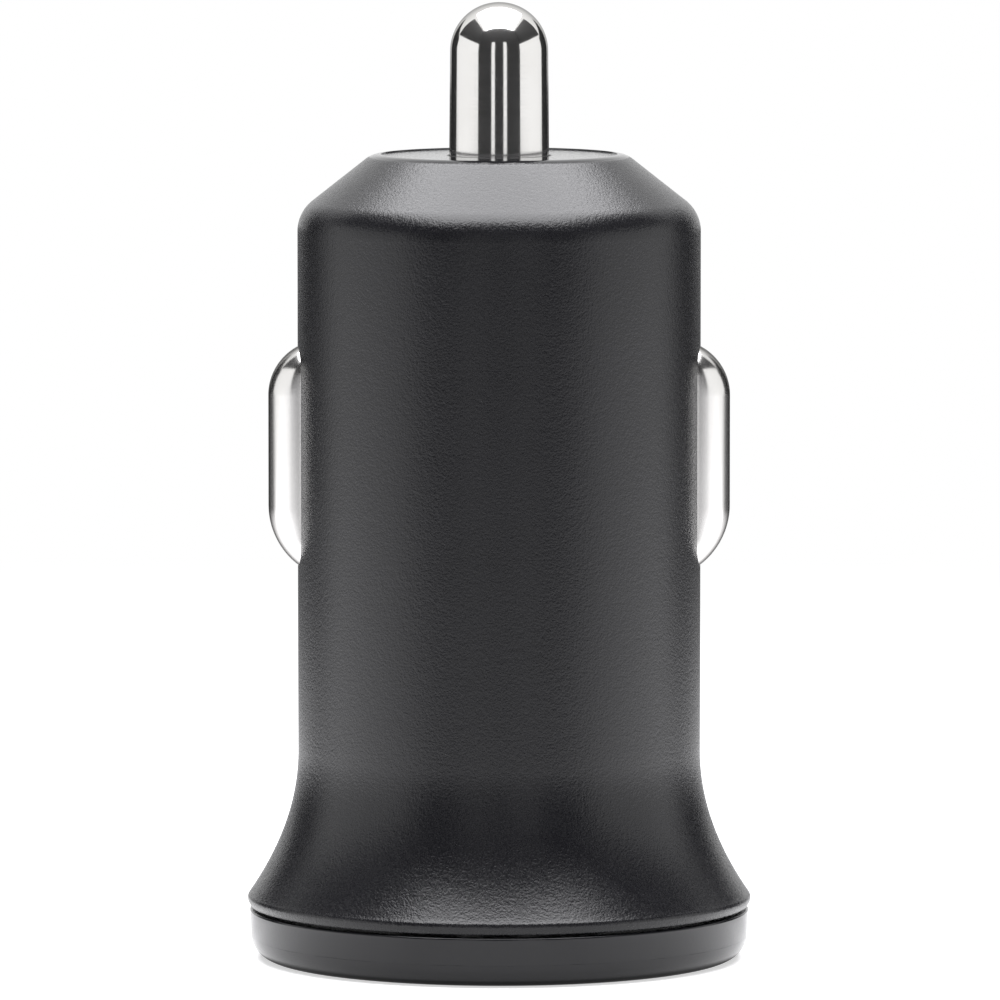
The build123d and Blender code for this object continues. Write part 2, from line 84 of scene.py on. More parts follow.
def faceOutwards():
    # leaves edit mode with every face pointing outwards
    bpy.ops.mesh.select_all(action="SELECT")
    bpy.ops.mesh.normals_make_consistent(inside=False)
    bpy.ops.object.mode_set(mode="OBJECT")


def roundCorner(before, corner, after, radius, steps):
    # points of the arc that rounds a corner of an outline, each round being a radius and its steps
    a, b, c = Vector(before), Vector(corner), Vector(after)
    inDir, outDir = (b - a).normalized(), (c - b).normalized()
    half = inDir.angle(outDir) / 2
    reach = radius * tan(half)
    start, end = b - inDir * reach, b + outDir * reach
    centre = b + (outDir - inDir).normalized() * (radius / cos(half))
    startTurn = atan2(start.y - centre.y, start.x - centre.x)
    turn = atan2(end.y - centre.y, end.x - centre.x) - startTurn
    turn = (turn + pi) % (2 * pi) - pi
    turns = [startTurn + turn * i / steps for i in range(steps + 1)]
    return [(centre.x + radius * cos(t), centre.y + radius * sin(t)) for t in turns]


def pullLine(name, places):
    # a primitive merged to one point, then pulled from place to place
    deselectAll()
    bpy.ops.mesh.primitive_circle_add(vertices=3, radius=mm)
    piece = nameIt(name)
    bpy.ops.object.mode_set(mode="EDIT")
    bpy.ops.mesh.select_mode(type="VERT")
    bpy.ops.mesh.select_all(action="SELECT")
    bpy.ops.mesh.merge(type="CENTER")
    bpy.ops.transform.translate(value=[p * mm for p in places[0]])
    for here, there in zip(places, places[1:]):
        pull(*(b - a for a, b in zip(here, there)))
    return piece


def drawOutline(name, points):
    return pullLine(name, [(x, 0, z) for x, z in points])


def spinOutline(name, points, turns):
    piece = drawOutline(name, points)
    bpy.ops.mesh.select_all(action="SELECT")
    bpy.ops.mesh.spin(steps=turns, angle=2 * pi, center=(0, 0, 0), axis=(0, 0, 1))
    bpy.ops.mesh.select_all(action="SELECT")
    bpy.ops.mesh.remove_doubles(threshold=weldGap)
    faceOutwards()
    return piece


def roundedBlock(name, size, place, corner, axis, steps=8):
    # a cube with the four edges along one axis rounded
    deselectAll()
    bpy.ops.mesh.primitive_cube_add(size=1, location=[p * mm for p in place], scale=[s * mm for s in size])
    block = nameIt(name)
    bpy.ops.object.transform_apply(location=True, rotation=True, scale=True)
    startPicking("EDGE")
    for edge in block.data.edges:
        ends = [block.data.vertices[i].co for i in edge.vertices]
        along = ends[1] - ends[0]
        edge.select = abs(along[axis]) > mostly * along.length
    bpy.ops.object.mode_set(mode="EDIT")
    bpy.ops.mesh.bevel(offset=corner * mm, offset_type="OFFSET", segments=steps, profile=0.5)
    bpy.ops.object.mode_set(mode="OBJECT")
    return block


def cutWith(piece, cutter, operation="DIFFERENCE"):
    cut = piece.modifiers.new("cut", "BOOLEAN")
    cut.operation = operation
    cut.solver = "EXACT"
    cut.object = cutter
    makeActive(piece)
    bpy.ops.object.modifier_apply(modifier="cut")
    bpy.data.objects.remove(cutter)


def joinWith(piece, other):
    cutWith(piece, other, "UNION")


def smoothOut(piece, angle=32):
    makeActive(piece)
    bpy.ops.object.shade_smooth_by_angle(angle=radians(angle))


def settle(piece, body, slot, material, *replaced):
    piece.data.materials.clear()
    piece.data.materials.append(material)
    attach(piece, body)
    if replaced:
        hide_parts(*replaced)


# camera at the photograph's angle

cameraSetup = {
    "place": (0, -0.53446, 0.070305), "tilt": 84.925, "turn": -0.0045, "lens": 388.77, "sensor": 36,
    "nearest": 0.01,
}
deselectAll()
bpy.ops.object.camera_add(
    location=cameraSetup["place"],
    rotation=(radians(cameraSetup["tilt"]), 0, radians(cameraSetup["turn"])),
)
camera = bpy.context.object
camera.data.lens = cameraSetup["lens"]
camera.data.sensor_width = cameraSetup["sensor"]
camera.data.clip_start = cameraSetup["nearest"]
scene.camera = camera
print("camera placed")


# helpers for shader trees

floatKind, vectorKind = "NodeSocketFloat", "NodeSocketVector"
placeInput = ("Vector", vectorKind, None)


def newGroup(name, inputs, outputs):
    group = bpy.data.node_groups.new(name, "ShaderNodeTree")
    for label, kind, value in inputs:
        socket = group.interface.new_socket(name=label, in_out="INPUT", socket_type=kind)
        if value is not None:
            socket.default_value = value
    for label in outputs:
        group.interface.new_socket(name=label, in_out="OUTPUT", socket_type=floatKind)
    return group, group.nodes.new("NodeGroupInput").outputs, group.nodes.new("NodeGroupOutput").inputs


def addNode(tree, kind, **settings):
    node = tree.nodes.new(kind)
    for key, value in settings.items():
        setattr(node, key, value)
    return node


def feed(tree, value, socket):
    # a number or a colour is set on the socket, another node's output is linked to it
    if isinstance(value, (int, float)):
        socket.default_value = value
    elif isinstance(value, tuple):
        socket.default_value = (*value, 1.0)
    else:
        tree.links.new(value, socket)


def calc(tree, operation, first, second=None):
    node = addNode(tree, "ShaderNodeMath", operation=operation)
    feed(tree, first, node.inputs[0])
    if second is not None:
        feed(tree, second, node.inputs[1])
    return node.outputs[0]


def spread(tree, value, low, high, toLow, toHigh):
    # what lies between low and high is spread over toLow to toHigh
    node = addNode(tree, "ShaderNodeMapRange", clamp=True)
    labels = ("Value", "From Min", "From Max", "To Min", "To Max")
    for label, number in zip(labels, (value, low, high, toLow, toHigh)):
        feed(tree, number, node.inputs[label])
    return node.outputs["Result"]


def addNoise(tree, place, scale, detail=2.0, roughness=0.5):
    node = addNode(tree, "ShaderNodeTexNoise")
    for label, value in (("Vector", place), ("Scale", scale), ("Detail", detail), ("Roughness", roughness)):
        feed(tree, value, node.inputs[label])
    return node.outputs["Fac"]


def inRadians(angles):
    return [radians(angle) for angle in angles]


def lengthOf(tree, place):
    node = addNode(tree, "ShaderNodeVectorMath", operation="LENGTH")
    tree.links.new(place, node.inputs[0])
    return node.outputs["Value"]


# shader groups that several materials share

# spark-eroded grain: fine pits over a slightly coarser unevenness
grainLook = {
    "fineness": 9000.0, "pitDetail": 2.0, "pitRough": 0.6, "pitShare": 0.65, "pitLow": 0.35, "pitHigh": 0.65,
    "swell": 0.4, "swellDetail": 1.0, "swellShare": 0.35,
}
sparkGrain, grainIn, grainOut = newGroup(
    "sparkGrain", [placeInput, ("Fineness", floatKind, grainLook["fineness"])], ["Height", "Pits"]
)
pits = addNoise(
    sparkGrain, grainIn["Vector"], grainIn["Fineness"], grainLook["pitDetail"], grainLook["pitRough"]
)
swellScale = calc(sparkGrain, "MULTIPLY", grainIn["Fineness"], grainLook["swell"])
swells = addNoise(sparkGrain, grainIn["Vector"], swellScale, grainLook["swellDetail"])
grainHeight = calc(
    sparkGrain, "ADD",
    calc(sparkGrain, "MULTIPLY", pits, grainLook["pitShare"]),
    calc(sparkGrain, "MULTIPLY", swells, grainLook["swellShare"]),
)
sparkGrain.links.new(grainHeight, grainOut["Height"])
pitMask = spread(sparkGrain, pits, grainLook["pitLow"], grainLook["pitHigh"], 0.0, 1.0)
sparkGrain.links.new(pitMask, grainOut["Pits"])

# slow drift of tone or gloss over a moulded or plated surface
driftLook = {"patches": 300.0, "detail": 4.0, "rough": 0.55, "low": 0.3, "high": 0.7}
toneDrift, driftIn, driftOut = newGroup(
    "toneDrift", [placeInput, ("Patches", floatKind, driftLook["patches"])], ["Value"]
)
drifts = addNoise(toneDrift, driftIn["Vector"], driftIn["Patches"], driftLook["detail"], driftLook["rough"])
driftShare = spread(toneDrift, drifts, driftLook["low"], driftLook["high"], 0.0, 1.0)
toneDrift.links.new(driftShare, driftOut["Value"])

# rubbed edges: convex corners, broken up by a fine noise
rubLook = {
    "start": 0.52, "full": 0.6, "fineness": 2500.0, "detail": 3.0, "breakLow": 0.35, "breakHigh": 0.65,
    "least": 0.15,
}
edgeRub, rubIn, rubOut = newGroup("edgeRub", [placeInput], ["Mask"])
pointed = addNode(edgeRub, "ShaderNodeNewGeometry").outputs["Pointiness"]
convex = spread(edgeRub, pointed, rubLook["start"], rubLook["full"], 0.0, 1.0)
rubNoise = addNoise(edgeRub, rubIn["Vector"], rubLook["fineness"], rubLook["detail"])
broken = spread(edgeRub, rubNoise, rubLook["breakLow"], rubLook["breakHigh"], rubLook["least"], 1.0)
edgeRub.links.new(calc(edgeRub, "MULTIPLY", convex, broken), rubOut["Mask"])

# lines left by drawing, turning or rolling: a noise pulled out along one direction
linesLook = {"stretch": (1.0, 1.0, 0.05), "fineness": 4000.0, "detail": 3.0, "low": 0.3, "high": 0.7}
linesInputs = [
    placeInput, ("Stretch", vectorKind, linesLook["stretch"]), ("Fineness", floatKind, linesLook["fineness"]),
]
drawnLines, linesIn, linesOut = newGroup("drawnLines", linesInputs, ["Height"])
pulled = addNode(drawnLines, "ShaderNodeVectorMath", operation="MULTIPLY")
drawnLines.links.new(linesIn["Vector"], pulled.inputs[0])
drawnLines.links.new(linesIn["Stretch"], pulled.inputs[1])
lineNoise = addNoise(drawnLines, pulled.outputs[0], linesIn["Fineness"], linesLook["detail"])
drawnLines.links.new(lineNoise, linesOut["Height"])

# handling marks: thin broken scuffs
scuffLook = {"size": 260.0, "width": 0.02, "breakLow": 0.52, "breakHigh": 0.66}
handlingScuffs, scuffIn, scuffOut = newGroup(
    "handlingScuffs", [placeInput, ("Size", floatKind, scuffLook["size"])], ["Mask"]
)
scuffCells = addNode(handlingScuffs, "ShaderNodeTexVoronoi", feature="DISTANCE_TO_EDGE")
handlingScuffs.links.new(scuffIn["Vector"], scuffCells.inputs["Vector"])
handlingScuffs.links.new(scuffIn["Size"], scuffCells.inputs["Scale"])
scuffLine = spread(handlingScuffs, scuffCells.outputs["Distance"], 0.0, scuffLook["width"], 1.0, 0.0)
scuffNoise = addNoise(handlingScuffs, scuffIn["Vector"], scuffIn["Size"])
scuffBreak = spread(handlingScuffs, scuffNoise, scuffLook["breakLow"], scuffLook["breakHigh"], 0.0, 1.0)
handlingScuffs.links.new(calc(handlingScuffs, "MULTIPLY", scuffLine, scuffBreak), scuffOut["Mask"])
print("shader groups ready")


# materials

def newMaterial(name):
    material = bpy.data.materials.new(name)
    material.use_nodes = True
    tree = material.node_tree
    place = addNode(tree, "ShaderNodeTexCoord").outputs["Object"]
    return material, tree, tree.nodes["Principled BSDF"], place


def useGroup(tree, group, place, **values):
    node = addNode(tree, "ShaderNodeGroup", node_tree=group)
    tree.links.new(place, node.inputs["Vector"])
    for label, value in values.items():
        node.inputs[label].default_value = value
    return node.outputs


def blendColours(tree, factor, first, second):
    node = addNode(tree, "ShaderNodeMix", data_type="RGBA")
    tree.links.new(factor, node.inputs["Factor"])
    feed(tree, first, node.inputs["A"])
    feed(tree, second, node.inputs["B"])
    return node.outputs["Result"]


def raiseSurface(tree, shader, height, strength, depth):
    bump = addNode(tree, "ShaderNodeBump")
    bump.inputs["Strength"].default_value = strength
    bump.inputs["Distance"].default_value = depth
    tree.links.new(height, bump.inputs["Height"])
    tree.links.new(bump.outputs["Normal"], shader.inputs["Normal"])


def mouldedPlastic(name, look):
    material, tree, shader, place = newMaterial(name)
    grain = useGroup(tree, sparkGrain, place, Fineness=look["fineness"])
    drift = useGroup(tree, toneDrift, place, Patches=look["patches"])
    rub = useGroup(tree, edgeRub, place)
    scuff = useGroup(tree, handlingScuffs, place, Size=look["scuffs"])
    tone = blendColours(tree, drift["Value"], look["dark"], look["light"])
    tone = blendColours(tree, calc(tree, "MULTIPLY", rub["Mask"], look["rub"]), tone, look["worn"])
    tree.links.new(tone, shader.inputs["Base Color"])
    gloss = spread(tree, grain["Pits"], 0.0, 1.0, look["smooth"], look["rough"])
    gloss = calc(tree, "ADD", gloss, calc(tree, "MULTIPLY", drift["Value"], look["driftGloss"]))
    gloss = calc(tree, "SUBTRACT", gloss, calc(tree, "MULTIPLY", scuff["Mask"], look["scuffGloss"]))
    relief = grain["Height"]
    if "polishedAbove" in look:
        # the mould's end face is polished, so the flat there has hardly any grain
        height = addNode(tree, "ShaderNodeSeparateXYZ")
        tree.links.new(place, height.inputs["Vector"])
        start, full = look["polishedAbove"] * mm, (look["polishedAbove"] + look["polishedBlend"]) * mm
        grained = spread(tree, height.outputs["Z"], start, full, 1.0, look["polishedShare"])
        gloss = calc(tree, "MULTIPLY", gloss, grained)
        relief = calc(tree, "MULTIPLY", relief, grained)
    tree.links.new(gloss, shader.inputs["Roughness"])
    shader.inputs["Specular IOR Level"].default_value = look["shine"]
    raiseSurface(tree, shader, relief, look["bump"], look["depth"])
    return material


def platedMetal(name, look):
    material, tree, shader, place = newMaterial(name)
    lines = useGroup(tree, drawnLines, place, Stretch=look["stretch"], Fineness=look["fineness"])
    drift = useGroup(tree, toneDrift, place, Patches=look["patches"])
    scuff = useGroup(tree, handlingScuffs, place, Size=look["scuffs"])
    tone = blendColours(tree, drift["Value"], look["dark"], look["light"])
    tree.links.new(tone, shader.inputs["Base Color"])
    gloss = spread(
        tree, lines["Height"], linesLook["low"], linesLook["high"], look["smooth"], look["rough"]
    )
    gloss = calc(tree, "ADD", gloss, calc(tree, "MULTIPLY", scuff["Mask"], look["scuffGloss"]))
    tree.links.new(gloss, shader.inputs["Roughness"])
    shader.inputs["Metallic"].default_value = 1.0
    # painted shade: the reflection is tinted darker where the surface turns away, standing in for dark
    # surroundings seen at grazing angles
    shader.inputs["Specular Tint"].default_value = (look.get("edge", 1.0),) * 3 + (1.0,)
    raiseSurface(tree, shader, lines["Height"], look["bump"], look["depth"])
    return material


housingPlastic = mouldedPlastic("housingPlastic", {
    "dark": (0.0058, 0.0058, 0.0074), "light": (0.0080, 0.0080, 0.0099), "worn": (0.040, 0.040, 0.042),
    "rub": 0.3, "fineness": 9500.0, "patches": 180.0, "scuffs": 120.0, "smooth": 0.20, "rough": 0.30,
    "driftGloss": 0.03, "scuffGloss": 0.03, "shine": 0.48, "bump": 0.85, "depth": 0.00003,
    "polishedAbove": 39.9, "polishedBlend": 0.04, "polishedShare": 0.33,
})
capPlastic = mouldedPlastic("capPlastic", {
    "dark": (0.0060, 0.0061, 0.0078), "light": (0.0080, 0.0081, 0.0100), "worn": (0.040, 0.040, 0.042),
    "rub": 0.05, "fineness": 11000.0, "patches": 220.0, "scuffs": 140.0, "smooth": 0.09, "rough": 0.14,
    "driftGloss": 0.03, "scuffGloss": 0.04, "shine": 0.48, "bump": 0.5, "depth": 0.000015,
})
# the edge values tint the pin's and the contacts' reflections dark at grazing angles: painted shade
pinNickel = platedMetal("pinNickel", {
    "dark": (0.850, 0.838, 0.818), "light": (0.890, 0.880, 0.865), "stretch": (0.02, 0.02, 1.0),
    "fineness": 9000.0, "patches": 400.0, "scuffs": 420.0, "smooth": 0.07, "rough": 0.11, "scuffGloss": 0.05,
    "edge": 0.4, "bump": 0.05, "depth": 0.000002,
})
contactNickel = platedMetal("contactNickel", {
    "dark": (0.850, 0.838, 0.820), "light": (0.890, 0.880, 0.865), "stretch": (1.0, 1.0, 0.03),
    "fineness": 7000.0, "patches": 300.0, "scuffs": 380.0, "smooth": 0.17, "rough": 0.21, "scuffGloss": 0.04,
    "edge": 0.1, "bump": 0.03, "depth": 0.000003,
})
springSteel = platedMetal("springSteel", {
    "dark": (0.52, 0.52, 0.53), "light": (0.62, 0.62, 0.62), "stretch": (0.3, 0.3, 1.0), "fineness": 6000.0,
    "patches": 500.0, "scuffs": 500.0, "smooth": 0.25, "rough": 0.38, "scuffGloss": 0.1, "bump": 0.15,
    "depth": 0.000004,
})
seatBrass = platedMetal("seatBrass", {
    "dark": (0.70, 0.50, 0.20), "light": (0.80, 0.61, 0.29), "stretch": (1.0, 0.05, 1.0), "fineness": 5000.0,
    "patches": 600.0, "scuffs": 500.0, "smooth": 0.22, "rough": 0.34, "scuffGloss": 0.1, "bump": 0.12,
    "depth": 0.000004,
})
socketSteel = platedMetal("socketSteel", {
    "dark": (0.58, 0.58, 0.575), "light": (0.67, 0.67, 0.66), "stretch": (1.0, 1.0, 0.04), "fineness": 5200.0,
    "patches": 350.0, "scuffs": 300.0, "smooth": 0.24, "rough": 0.36, "scuffGloss": 0.12, "bump": 0.14,
    "depth": 0.000004,
})
giltStrip = platedMetal("giltStrip", {
    "dark": (0.82, 0.59, 0.22), "light": (0.92, 0.72, 0.34), "stretch": (1.0, 1.0, 0.05), "fineness": 8000.0,
    "patches": 700.0, "scuffs": 600.0, "smooth": 0.16, "rough": 0.26, "scuffGloss": 0.1, "bump": 0.08,
    "depth": 0.000003,
})
canAluminium = platedMetal("canAluminium", {
    "dark": (0.66, 0.66, 0.66), "light": (0.76, 0.76, 0.76), "stretch": (1.0, 0.04, 1.0), "fineness": 5000.0,
    "patches": 300.0, "scuffs": 320.0, "smooth": 0.28, "rough": 0.4, "scuffGloss": 0.1, "bump": 0.12,
    "depth": 0.000004,
})
socketPlastic = mouldedPlastic("socketPlastic", {
    "dark": (0.76, 0.755, 0.735), "light": (0.84, 0.835, 0.82), "worn": (0.86, 0.86, 0.85), "rub": 0.2,
    "fineness": 8000.0, "patches": 260.0, "scuffs": 200.0, "smooth": 0.4, "rough": 0.52, "driftGloss": 0.05,
    "scuffGloss": 0.05, "shine": 0.5, "bump": 0.2, "depth": 0.00001,
})
chipPlastic = mouldedPlastic("chipPlastic", {
    "dark": (0.020, 0.020, 0.021), "light": (0.032, 0.032, 0.033), "worn": (0.08, 0.08, 0.08), "rub": 0.3,
    "fineness": 9000.0, "patches": 500.0, "scuffs": 400.0, "smooth": 0.5, "rough": 0.65, "driftGloss": 0.05,
    "scuffGloss": 0.05, "shine": 0.4, "bump": 0.3, "depth": 0.00001,
})
ferrite = mouldedPlastic("ferrite", {
    "dark": (0.045, 0.045, 0.047), "light": (0.075, 0.074, 0.073), "worn": (0.14, 0.14, 0.14), "rub": 0.4,
    "fineness": 6000.0, "patches": 700.0, "scuffs": 300.0, "smooth": 0.45, "rough": 0.7, "driftGloss": 0.08,
    "scuffGloss": 0.05, "shine": 0.5, "bump": 0.4, "depth": 0.00001,
})
chipCeramic = mouldedPlastic("chipCeramic", {
    "dark": (0.43, 0.35, 0.27), "light": (0.56, 0.48, 0.39), "worn": (0.7, 0.7, 0.68), "rub": 0.5,
    "fineness": 9000.0, "patches": 900.0, "scuffs": 600.0, "smooth": 0.35, "rough": 0.55, "driftGloss": 0.08,
    "scuffGloss": 0.05, "shine": 0.5, "bump": 0.25, "depth": 0.000008,
})


def solderMask(name, look):
    # green lacquer with the tracks showing faintly under it
    material, tree, shader, place = newMaterial(name)
    turned = addNode(tree, "ShaderNodeMapping")
    turned.inputs["Rotation"].default_value = (radians(90), 0, 0)
    tree.links.new(place, turned.inputs["Vector"])
    cells = addNode(tree, "ShaderNodeTexBrick", offset=0.5)
    cells.inputs["Scale"].default_value = look["tracks"]
    cells.inputs["Mortar Size"].default_value = look["trackWidth"]
    cells.inputs["Mortar Smooth"].default_value = look["trackBlur"]
    tree.links.new(turned.outputs["Vector"], cells.inputs["Vector"])
    drift = useGroup(tree, toneDrift, place, Patches=look["patches"])
    tone = blendColours(tree, drift["Value"], look["dark"], look["light"])
    tone = blendColours(tree, cells.outputs["Fac"], tone, look["track"])
    tree.links.new(tone, shader.inputs["Base Color"])
    grain = useGroup(tree, sparkGrain, place, Fineness=look["fineness"])
    gloss = spread(tree, grain["Pits"], 0.0, 1.0, look["smooth"], look["rough"])
    tree.links.new(gloss, shader.inputs["Roughness"])
    raiseSurface(tree, shader, cells.outputs["Fac"], look["bump"], look["depth"])
    return material


def enamelledWire(name, look):
    # ridges of the wire round the drum, with painted shade in the grooves between the turns
    material, tree, shader, place = newMaterial(name)
    ridges = addNode(tree, "ShaderNodeTexWave", bands_direction="Y", wave_profile="SIN")
    ridges.inputs["Scale"].default_value = look["ridges"]
    ridges.inputs["Distortion"].default_value = look["unevenness"]
    tree.links.new(place, ridges.inputs["Vector"])
    drift = useGroup(tree, toneDrift, place, Patches=look["patches"])
    tone = blendColours(tree, drift["Value"], look["dark"], look["light"])
    # painted shade: the grooves take the darker colour
    tone = blendColours(tree, ridges.outputs["Fac"], look["groove"], tone)
    tree.links.new(tone, shader.inputs["Base Color"])
    gloss = spread(tree, ridges.outputs["Fac"], 0.0, 1.0, look["rough"], look["smooth"])
    tree.links.new(gloss, shader.inputs["Roughness"])
    shader.inputs["Metallic"].default_value = look["metal"]
    raiseSurface(tree, shader, ridges.outputs["Fac"], look["bump"], look["depth"])
    return material


boardMask = solderMask("boardMask", {
    "dark": (0.010, 0.105, 0.045), "light": (0.016, 0.135, 0.058), "track": (0.030, 0.190, 0.070),
    "tracks": 420.0, "trackWidth": 0.06, "trackBlur": 0.3, "patches": 240.0, "fineness": 5000.0,
    "smooth": 0.22, "rough": 0.36, "bump": 0.4, "depth": 0.00002,
})
windingCopper = enamelledWire("windingCopper", {
    "dark": (0.50, 0.20, 0.075), "light": (0.66, 0.30, 0.13), "groove": (0.16, 0.055, 0.02), "ridges": 520.0,
    "unevenness": 0.4, "patches": 600.0, "smooth": 0.28, "rough": 0.45, "metal": 0.85, "bump": 0.8,
    "depth": 0.00008,
})
print("materials ready")


# housing: one moulding, barrel, nose cone and flared skirt

housingLook = {
    "barrel": 10.0, "barrelRings": (14.0, 18.5, 31.6), "shoulder": 37.15, "shoulderRound": (1.9, 16),
    "noseFlat": 6.3, "noseTop": 40.06, "noseRound": (1.2, 10), "dish": 5.86, "dishDepth": 0.07,
    "dishRound": (0.02, 3), "dishRing": 0.2, "flareTop": 10.35, "flareSteps": 36, "rim": 12.601,
    "rimHeight": 3.03, "rimRound": (0.35, 6), "lip": 2.64, "lipRadius": 12.37, "lipRound": (0.1, 4),
    "mouth": 10.87, "taperTop": 8.3, "inner": 8.6, "innerStep": 0.6, "noseInside": 38.46, "pinHole": 2.585,
    "holeRound": (0.06, 4), "holeRing": 0.25, "bossIn": 3.4, "bossOut": 4.5, "bossLow": 34.41,
    "grooveLow": 7.9, "grooveHigh": 9.15, "groove": 9.1, "turns": 176,
}
windowLook = {"width": 3.92, "length": 10.96, "corner": 1.25, "middle": 25.07, "fit": 0.05, "through": 30}
pocketLook = {"margin": 0.75, "corner": 1.9}
railLook = {
    "inside": 7.706, "outside": 9.3, "slot": 1.1, "wall": 0.8, "low": 9.7, "stop": 16.37, "soft": 0.05,
}


def flarePoint(h, share):
    # the skirt leaves the barrel on a parabola that opens towards the rim
    ends = (Vector((h["rim"], h["rimHeight"])), Vector((h["barrel"], h["flareTop"])))
    bend = Vector((h["barrel"], (h["rimHeight"] + h["flareTop"]) / 2))
    return ends[0] * (1 - share) ** 2 + bend * 2 * share * (1 - share) + ends[1] * share**2


def buildHousing(h):
    mouthEdge = (h["mouth"], h["lip"])
    lipEdge = (h["lipRadius"], h["lip"])
    rimEdge = (h["rim"], h["rimHeight"])
    barrelStart = (h["barrel"], h["flareTop"])
    shoulder = (h["barrel"], h["shoulder"])
    noseEdge = (h["noseFlat"], h["noseTop"])
    noseEnd = (h["dish"], h["noseTop"])
    dishLow = h["noseTop"] - h["dishDepth"]
    dishEdge = (h["dish"], dishLow)
    holeEdge = (h["pinHole"], dishLow)
    holeLow = (h["pinHole"], h["noseInside"])
    flare = [flarePoint(h, i / h["flareSteps"]) for i in range(1, h["flareSteps"] + 1)]
    outline = [mouthEdge]
    outline += roundCorner(mouthEdge, lipEdge, rimEdge, *h["lipRound"])
    outline += roundCorner(lipEdge, rimEdge, flare[2], *h["rimRound"])
    outline += [tuple(p) for p in flare]
    outline += [(h["barrel"], height) for height in h["barrelRings"]]
    outline += roundCorner(barrelStart, shoulder, noseEdge, *h["shoulderRound"])
    outline += roundCorner(shoulder, noseEdge, noseEnd, *h["noseRound"])
    # the end of the nose is dished by a hair inside its rim, and two rings keep its shading flat
    outline += roundCorner(noseEdge, noseEnd, dishEdge, *h["dishRound"])
    outline += roundCorner(noseEnd, dishEdge, holeEdge, *h["dishRound"])
    outline += [(h["dish"] - h["dishRing"], dishLow), (h["pinHole"] + h["holeRing"], dishLow)]
    outline += roundCorner(dishEdge, holeEdge, holeLow, *h["holeRound"])
    outline += [
        holeLow, (h["bossIn"], h["noseInside"]), (h["bossIn"], h["bossLow"]), (h["bossOut"], h["bossLow"]),
        (h["bossOut"], h["noseInside"]), (h["noseFlat"] - h["innerStep"], h["noseInside"]),
        (h["inner"], h["shoulder"] - h["innerStep"]), (h["inner"], h["grooveHigh"]),
        (h["groove"], h["grooveHigh"]), (h["groove"], h["grooveLow"]),
    ]
    taper = (h["mouth"] - h["inner"]) / (h["taperTop"] - h["lip"])
    outline.append((h["inner"] + taper * (h["taperTop"] - h["grooveLow"]), h["grooveLow"]))
    outline.append(mouthEdge)
    return spinOutline("housingShell", outline, h["turns"])


def cutWindows(shell, w, pocket, inner):
    # windows through both sides, with flat pockets behind them for the flanges
    place = (0, 0, w["middle"])
    windowSize = (w["through"], w["width"], w["length"])
    cutWith(shell, roundedBlock("windowCutter", windowSize, place, w["corner"], 0))
    pocketSize = (2 * inner, w["width"] + 2 * pocket["margin"], w["length"] + 2 * pocket["margin"])
    cutWith(shell, roundedBlock("pocketCutter", pocketSize, place, pocket["corner"], 0))


def addRails(shell, r):
    # rails that hold the board's edges, closed at the top
    deep, across = r["outside"] - r["inside"], (r["slot"] + r["wall"]) / 2
    tall, middle = r["stop"] + r["wall"] - r["low"], (r["low"] + r["stop"] + r["wall"]) / 2
    stopSize = (deep, r["slot"] + r["wall"], r["wall"])
    for _, side in sides:
        x = side * (r["inside"] + r["outside"]) / 2
        for y in (-across, across):
            joinWith(shell, roundedBlock("rail", (deep, r["wall"], tall), (x, y, middle), r["soft"], 2, 2))
        stopPlace = (x, 0, r["stop"] + r["wall"] / 2)
        joinWith(shell, roundedBlock("railStop", stopSize, stopPlace, r["soft"], 1, 2))


housingShell = buildHousing(housingLook)
cutWindows(housingShell, windowLook, pocketLook, housingLook["inner"])
addRails(housingShell, railLook)
smoothOut(housingShell)
settle(housingShell, "plug", "housing_plastic", housingPlastic, "housing")
print("housing shell made:", len(housingShell.data.polygons), "faces")


# face cap: turned plate with a soft lower edge, a spigot, snap hooks and the USB mouth in a collar

capLook = {
    "radius": 12.43, "draft": 0.13, "round": (1.2, 14), "faceRing": 1.5, "sideRings": (0.45, 0.88),
    "top": 2.5, "topRound": (0.1, 5), "ledge": 11.68, "lip": housingLook["lip"], "spigotLow": 10.75,
    "spigotHigh": 10.37, "spigotTop": 3.59, "skirt": 1.2, "floor": 1.8, "turns": 176, "mouth": (12.7, 5.3),
    "mouthCorner": 0.6, "mouthTop": 2, "flare": 0.35, "past": 1, "pocket": (13.3, 5.9), "pocketCorner": 0.7,
    "pocketLow": 0.7, "pocketDepth": 5, "collar": (14.9, 7.5), "collarCorner": 1.4, "collarTop": 5.0,
    "collarRoot": 0.1,
}
hookLook = {
    "inside": 7.35, "outside": 8.4, "tip": 8.95, "root": 1.5, "catch": 8.05, "land": 8.4, "lead": 8.2,
    "end": 9.0, "width": 2.8, "firstTurn": 45, "count": 4,
}


def buildCap(c):
    lowEdge = (c["radius"] - c["draft"], 0)
    highEdge = (c["radius"], c["top"])
    inside = c["spigotHigh"] - c["skirt"]
    outline = [(0, 0), (lowEdge[0] - c["faceRing"], 0)]
    outline += roundCorner((0, 0), lowEdge, highEdge, *c["round"])
    outline += [(lowEdge[0] + c["draft"] * share, c["top"] * share) for share in c["sideRings"]]
    outline += roundCorner(lowEdge, highEdge, (c["ledge"], c["top"]), *c["topRound"])
    outline += [
        (c["ledge"], c["top"]), (c["ledge"], c["lip"]), (c["spigotLow"], c["lip"]),
        (c["spigotHigh"], c["spigotTop"]), (inside, c["spigotTop"]), (inside, c["floor"]), (0, c["floor"]),
    ]
    return spinOutline("faceCap", outline, c["turns"])


def addCollar(cap, c):
    low, high = c["floor"] - c["collarRoot"], c["collarTop"]
    size = (*c["collar"], high - low)
    joinWith(cap, roundedBlock("capCollar", size, (0, 0, (high + low) / 2), c["collarCorner"], 2))


